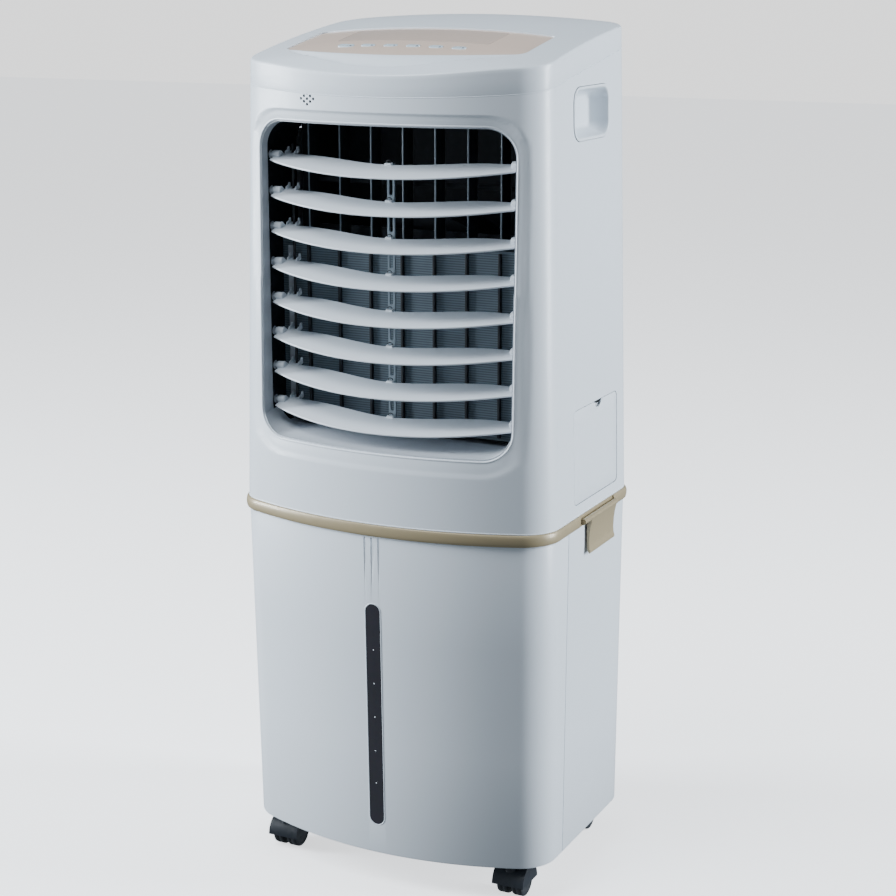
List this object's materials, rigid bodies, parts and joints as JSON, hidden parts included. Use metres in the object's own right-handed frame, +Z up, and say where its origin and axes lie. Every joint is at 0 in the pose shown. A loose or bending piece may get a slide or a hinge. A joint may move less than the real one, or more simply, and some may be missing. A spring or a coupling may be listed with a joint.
{
  "type": "evaporative cooler",
  "caption": "Tower evaporative cooler: water tank on swivel casters, louvred fan head with tilting blades and swinging vanes, sloping control top, side fill door and clasps.",
  "frame": {"origin": "centre of the footprint, on the floor under the casters", "axes": "+Z up, -Y out of the front with the air outlet, +X towards the side with the fill door"},
  "size_m": [0.4672, 0.344, 1.1377],
  "materials": {
    "white_shell": "satin moulded ABS, cool white",
    "gold_panel": "rose-gold printed panel film, satin",
    "gold_trim": "pale gold-beige moulded trim",
    "dark_window": "dark translucent level window",
    "display_lens": "smoked rose-gold display lens",
    "button": "pale blue translucent caps",
    "louver": "pale grey-white moulded blades",
    "sleeve": "grey-white moulded reveal",
    "duct_grey": "blue-grey moulded duct",
    "vane_black": "near-black moulded vanes",
    "black_plastic": "black moulded plastic",
    "wheel": "dark nylon and rubber tread",
    "pad": "corrugated cellulose cooling pad",
    "motor": "plated and painted motor case",
    "hose": "silicone hose",
    "board": "coated circuit board"
  },
  "bodies": {
    "tank": {"tank_tub": "white_shell", "tank_front_panel": "white_shell", "level_window": "dark_window"},
    "drain": {"drain_plug": "black_plastic"},
    "caster_fl": {"caster_hood_fl": "black_plastic"},
    "wheels_fl": {"caster_wheels_fl": "wheel"},
    "caster_fr": {"caster_hood_fr": "black_plastic"},
    "wheels_fr": {"caster_wheels_fr": "wheel"},
    "caster_rl": {"caster_hood_rl": "black_plastic"},
    "wheels_rl": {"caster_wheels_rl": "wheel"},
    "caster_rr": {"caster_hood_rr": "black_plastic"},
    "wheels_rr": {"caster_wheels_rr": "wheel"},
    "head": {"base_deck": "white_shell", "trim_band": "gold_trim", "housing_shell": "white_shell", "top_cover": "white_shell", "control_panel": "gold_panel", "display_lens": "display_lens", "handle_cup_left": "white_shell", "handle_cup_right": "white_shell", "outlet_frame": "sleeve", "center_strut": "louver", "duct_panel": "duct_grey", "blower_housing": "black_plastic", "fan_motor": "motor", "swing_motor": "motor", "cooling_pad": "pad", "water_tray": "white_shell", "water_pump": "black_plastic", "water_hose": "hose", "cord_gland": "black_plastic", "control_board": "board"},
    "impeller": {"impeller": "black_plastic"},
    "louver_1": {"louver_1": "louver"},
    "louver_2": {"louver_2": "louver"},
    "louver_3": {"louver_3": "louver"},
    "louver_4": {"louver_4": "louver"},
    "louver_5": {"louver_5": "louver"},
    "louver_6": {"louver_6": "louver"},
    "louver_7": {"louver_7": "louver"},
    "louver_8": {"louver_8": "louver"},
    "louver_link": {"louver_link": "vane_black"},
    "vane_1": {"vane_1": "vane_black"},
    "vane_2": {"vane_2": "vane_black"},
    "vane_3": {"vane_3": "vane_black"},
    "vane_4": {"vane_4": "vane_black"},
    "vane_5": {"vane_5": "vane_black"},
    "vane_6": {"vane_6": "vane_black"},
    "vane_7": {"vane_7": "vane_black"},
    "vane_link": {"vane_link": "vane_black"},
    "button_1": {"button_1": "button"},
    "button_2": {"button_2": "button"},
    "button_3": {"button_3": "button"},
    "button_4": {"button_4": "button"},
    "button_5": {"button_5": "button"},
    "button_6": {"button_6": "button"},
    "fill_door": {"fill_door": "white_shell"},
    "latch_right": {"latch_right": "gold_trim"},
    "latch_left": {"latch_left": "gold_trim"},
    "rear_grille": {"rear_grille": "white_shell"}
  },
  "joints": [
    {"name": "drain_plug_pull", "type": "slide", "parent": "tank", "child": "drain", "axis": [0, 1, 0], "range_m": [0, 0.04]},
    {"name": "swivel_fl", "type": "hinge", "parent": "tank", "child": "caster_fl", "pos_m": [-0.172, -0.104, 0.045], "axis": [0, 0, 1], "continuous": true},
    {"name": "roll_fl", "type": "hinge", "parent": "caster_fl", "child": "wheels_fl", "pos_m": [-0.172, -0.094, 0.02], "axis": [1, 0, 0], "continuous": true},
    {"name": "swivel_fr", "type": "hinge", "parent": "tank", "child": "caster_fr", "pos_m": [0.172, -0.104, 0.045], "axis": [0, 0, 1], "continuous": true},
    {"name": "roll_fr", "type": "hinge", "parent": "caster_fr", "child": "wheels_fr", "pos_m": [0.172, -0.094, 0.02], "axis": [1, 0, 0], "continuous": true},
    {"name": "swivel_rl", "type": "hinge", "parent": "tank", "child": "caster_rl", "pos_m": [-0.17, 0.125, 0.045], "axis": [0, 0, 1], "continuous": true},
    {"name": "roll_rl", "type": "hinge", "parent": "caster_rl", "child": "wheels_rl", "pos_m": [-0.17, 0.135, 0.02], "axis": [1, 0, 0], "continuous": true},
    {"name": "swivel_rr", "type": "hinge", "parent": "tank", "child": "caster_rr", "pos_m": [0.17, 0.125, 0.045], "axis": [0, 0, 1], "continuous": true},
    {"name": "roll_rr", "type": "hinge", "parent": "caster_rr", "child": "wheels_rr", "pos_m": [0.17, 0.135, 0.02], "axis": [1, 0, 0], "continuous": true},
    {"name": "head_lift", "type": "slide", "parent": "tank", "child": "head", "axis": [0, 0, 1], "range_m": [0, 0.46]},
    {"name": "impeller_spin", "type": "hinge", "parent": "head", "child": "impeller", "pos_m": [0, 0.01, 0.76], "axis": [0, 1, 0], "continuous": true},
    {"name": "louver_1_tilt", "type": "hinge", "parent": "head", "child": "louver_1", "pos_m": [0, -0.1, 0.9651], "axis": [1, 0, 0], "range_deg": [-30, 12]},
    {"name": "louver_2_tilt", "type": "hinge", "parent": "head", "child": "louver_2", "pos_m": [0, -0.1, 0.919], "axis": [1, 0, 0], "range_deg": [-30, 12]},
    {"name": "louver_3_tilt", "type": "hinge", "parent": "head", "child": "louver_3", "pos_m": [0, -0.1, 0.8729], "axis": [1, 0, 0], "range_deg": [-30, 12]},
    {"name": "louver_4_tilt", "type": "hinge", "parent": "head", "child": "louver_4", "pos_m": [0, -0.1, 0.8268], "axis": [1, 0, 0], "range_deg": [-30, 12]},
    {"name": "louver_5_tilt", "type": "hinge", "parent": "head", "child": "louver_5", "pos_m": [0, -0.1, 0.7807], "axis": [1, 0, 0], "range_deg": [-30, 12]},
    {"name": "louver_6_tilt", "type": "hinge", "parent": "head", "child": "louver_6", "pos_m": [0, -0.1, 0.7346], "axis": [1, 0, 0], "range_deg": [-30, 12]},
    {"name": "louver_7_tilt", "type": "hinge", "parent": "head", "child": "louver_7", "pos_m": [0, -0.1, 0.6885], "axis": [1, 0, 0], "range_deg": [-30, 12]},
    {"name": "louver_8_tilt", "type": "hinge", "parent": "head", "child": "louver_8", "pos_m": [0, -0.1, 0.6424], "axis": [1, 0, 0], "range_deg": [-30, 12]},
    {"name": "louver_link_pivot", "type": "hinge", "parent": "louver_1", "child": "louver_link", "pos_m": [-0.155, -0.08375, 0.96606], "axis": [1, 0, 0], "range_deg": [-12, 30]},
    {"name": "vane_1_swing", "type": "hinge", "parent": "head", "child": "vane_1", "pos_m": [-0.1371, -0.06, 0.93], "axis": [0, 0, 1], "range_deg": [-30, 30]},
    {"name": "vane_2_swing", "type": "hinge", "parent": "head", "child": "vane_2", "pos_m": [-0.0914, -0.06, 0.93], "axis": [0, 0, 1], "range_deg": [-30, 30]},
    {"name": "vane_3_swing", "type": "hinge", "parent": "head", "child": "vane_3", "pos_m": [-0.0457, -0.06, 0.93], "axis": [0, 0, 1], "range_deg": [-30, 30]},
    {"name": "vane_4_swing", "type": "hinge", "parent": "head", "child": "vane_4", "pos_m": [0, -0.06, 0.93], "axis": [0, 0, 1], "range_deg": [-30, 30]},
    {"name": "vane_5_swing", "type": "hinge", "parent": "head", "child": "vane_5", "pos_m": [0.0457, -0.06, 0.93], "axis": [0, 0, 1], "range_deg": [-30, 30]},
    {"name": "vane_6_swing", "type": "hinge", "parent": "head", "child": "vane_6", "pos_m": [0.0914, -0.06, 0.93], "axis": [0, 0, 1], "range_deg": [-30, 30]},
    {"name": "vane_7_swing", "type": "hinge", "parent": "head", "child": "vane_7", "pos_m": [0.1371, -0.06, 0.93], "axis": [0, 0, 1], "range_deg": [-30, 30]},
    {"name": "vane_link_pivot", "type": "hinge", "parent": "vane_1", "child": "vane_link", "pos_m": [-0.1371, -0.0425, 0.93], "axis": [0, 0, 1], "range_deg": [-30, 30]},
    {"name": "button_1_press", "type": "slide", "parent": "head", "child": "button_1", "axis": [0, 0.2266, -0.974], "range_m": [0, 0.001], "stiffness_N_per_m": 250},
    {"name": "button_2_press", "type": "slide", "parent": "head", "child": "button_2", "axis": [0, 0.2266, -0.974], "range_m": [0, 0.001], "stiffness_N_per_m": 250},
    {"name": "button_3_press", "type": "slide", "parent": "head", "child": "button_3", "axis": [0, 0.2266, -0.974], "range_m": [0, 0.001], "stiffness_N_per_m": 250},
    {"name": "button_4_press", "type": "slide", "parent": "head", "child": "button_4", "axis": [0, 0.2266, -0.974], "range_m": [0, 0.001], "stiffness_N_per_m": 250},
    {"name": "button_5_press", "type": "slide", "parent": "head", "child": "button_5", "axis": [0, 0.2266, -0.974], "range_m": [0, 0.001], "stiffness_N_per_m": 250},
    {"name": "button_6_press", "type": "slide", "parent": "head", "child": "button_6", "axis": [0, 0.2266, -0.974], "range_m": [0, 0.001], "stiffness_N_per_m": 250},
    {"name": "fill_door_hinge", "type": "hinge", "parent": "head", "child": "fill_door", "pos_m": [0.2226, 0.0425, 0.529], "axis": [0, 1, 0], "range_deg": [0, 50]},
    {"name": "latch_right_swing", "type": "hinge", "parent": "head", "child": "latch_right", "pos_m": [0.2296, 0.042, 0.501], "axis": [0, -1, 0], "range_deg": [0, 80]},
    {"name": "latch_left_swing", "type": "hinge", "parent": "head", "child": "latch_left", "pos_m": [-0.2296, 0.042, 0.501], "axis": [0, 1, 0], "range_deg": [0, 80]},
    {"name": "rear_grille_pull", "type": "slide", "parent": "head", "child": "rear_grille", "axis": [0, 1, 0], "range_m": [0, 0.15]}
  ],
  "couplings": [
    {"joint": "louver_2_tilt", "follows": "louver_1_tilt", "ratio": 1},
    {"joint": "louver_3_tilt", "follows": "louver_1_tilt", "ratio": 1},
    {"joint": "louver_4_tilt", "follows": "louver_1_tilt", "ratio": 1},
    {"joint": "louver_5_tilt", "follows": "louver_1_tilt", "ratio": 1},
    {"joint": "louver_6_tilt", "follows": "louver_1_tilt", "ratio": 1},
    {"joint": "louver_7_tilt", "follows": "louver_1_tilt", "ratio": 1},
    {"joint": "louver_8_tilt", "follows": "louver_1_tilt", "ratio": 1},
    {"joint": "louver_link_pivot", "follows": "louver_1_tilt", "ratio": -1},
    {"joint": "vane_2_swing", "follows": "vane_1_swing", "ratio": 1},
    {"joint": "vane_3_swing", "follows": "vane_1_swing", "ratio": 1},
    {"joint": "vane_4_swing", "follows": "vane_1_swing", "ratio": 1},
    {"joint": "vane_5_swing", "follows": "vane_1_swing", "ratio": 1},
    {"joint": "vane_6_swing", "follows": "vane_1_swing", "ratio": 1},
    {"joint": "vane_7_swing", "follows": "vane_1_swing", "ratio": 1},
    {"joint": "vane_link_pivot", "follows": "vane_1_swing", "ratio": -1}
  ]
}
